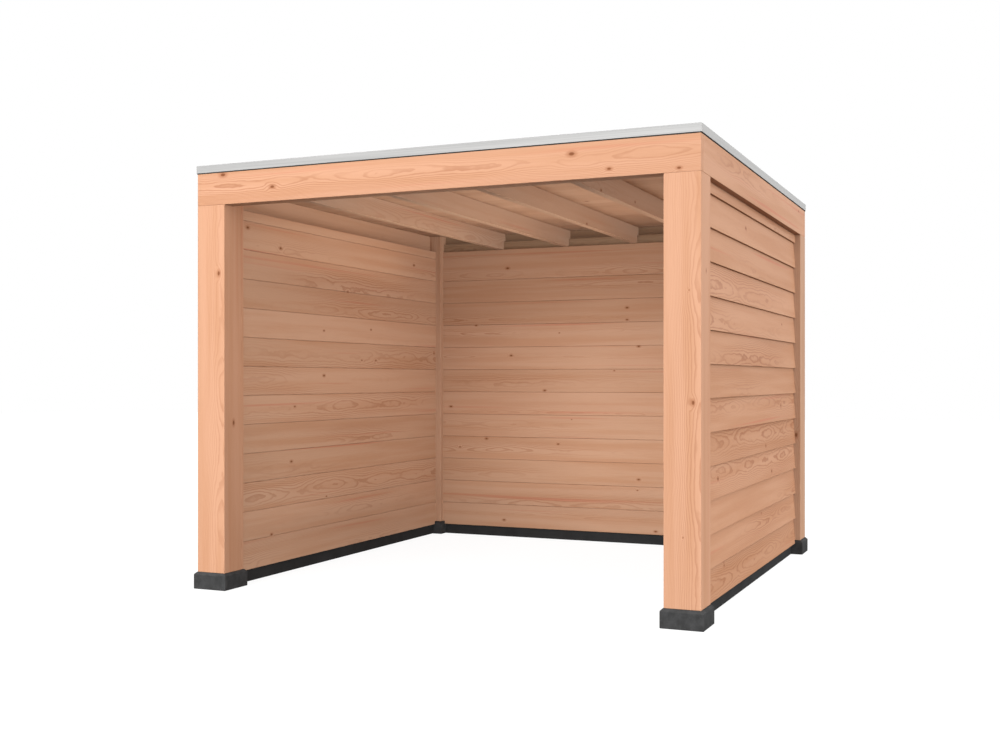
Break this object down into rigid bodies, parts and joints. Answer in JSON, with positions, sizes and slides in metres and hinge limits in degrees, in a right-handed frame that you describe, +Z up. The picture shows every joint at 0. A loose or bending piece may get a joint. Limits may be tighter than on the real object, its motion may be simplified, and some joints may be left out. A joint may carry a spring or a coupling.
{
  "type": "garden canopy",
  "caption": "Square timber garden canopy with posts on cast feet, boarded side and rear walls, an open front and a flat roof on rafters.",
  "frame": {"origin": "ground level, under the middle of the plan", "axes": "+Z up, +Y from the open front to the rear wall, +X to the right seen from the front"},
  "size_m": [3.033, 3.033, 2.4725],
  "materials": {
    "planed_timber": "planed, untreated",
    "weatherboard": "planed, untreated",
    "roof_boards": "planed, untreated",
    "cast_concrete": "cast, dyed anthracite",
    "recycled_plastic": "extruded, anthracite",
    "roof_rubber": "matt sheet",
    "aluminium_trim": "mill finish"
  },
  "bodies": {
    "root": {"base_beam_left": "recycled_plastic", "base_beam_rear": "recycled_plastic", "base_beam_right": "recycled_plastic", "bearer_front": "planed_timber", "bearer_left": "planed_timber", "bearer_rear": "planed_timber", "bearer_right": "planed_timber", "fascia_front": "planed_timber", "fascia_left": "planed_timber", "fascia_rear": "planed_timber", "fascia_right": "planed_timber", "foot_front_left": "cast_concrete", "foot_front_right": "cast_concrete", "foot_rear_left": "cast_concrete", "foot_rear_right": "cast_concrete", "post_front_left": "planed_timber", "post_front_right": "planed_timber", "post_rear_left": "planed_timber", "post_rear_right": "planed_timber", "rafter_1": "planed_timber", "rafter_2": "planed_timber", "rafter_3": "planed_timber", "rafter_4": "planed_timber", "rafter_noggins": "planed_timber", "roof_deck": "roof_boards", "roof_membrane": "roof_rubber", "roof_trim_front": "aluminium_trim", "roof_trim_left": "aluminium_trim", "roof_trim_rear": "aluminium_trim", "roof_trim_right": "aluminium_trim", "wall_inner_left": "weatherboard", "wall_inner_rear": "weatherboard", "wall_inner_right": "weatherboard", "wall_outer_left": "weatherboard", "wall_outer_rear": "weatherboard", "wall_outer_right": "weatherboard", "wall_studs_left": "planed_timber", "wall_studs_rear": "planed_timber", "wall_studs_right": "planed_timber"}
  },
  "joints": []
}
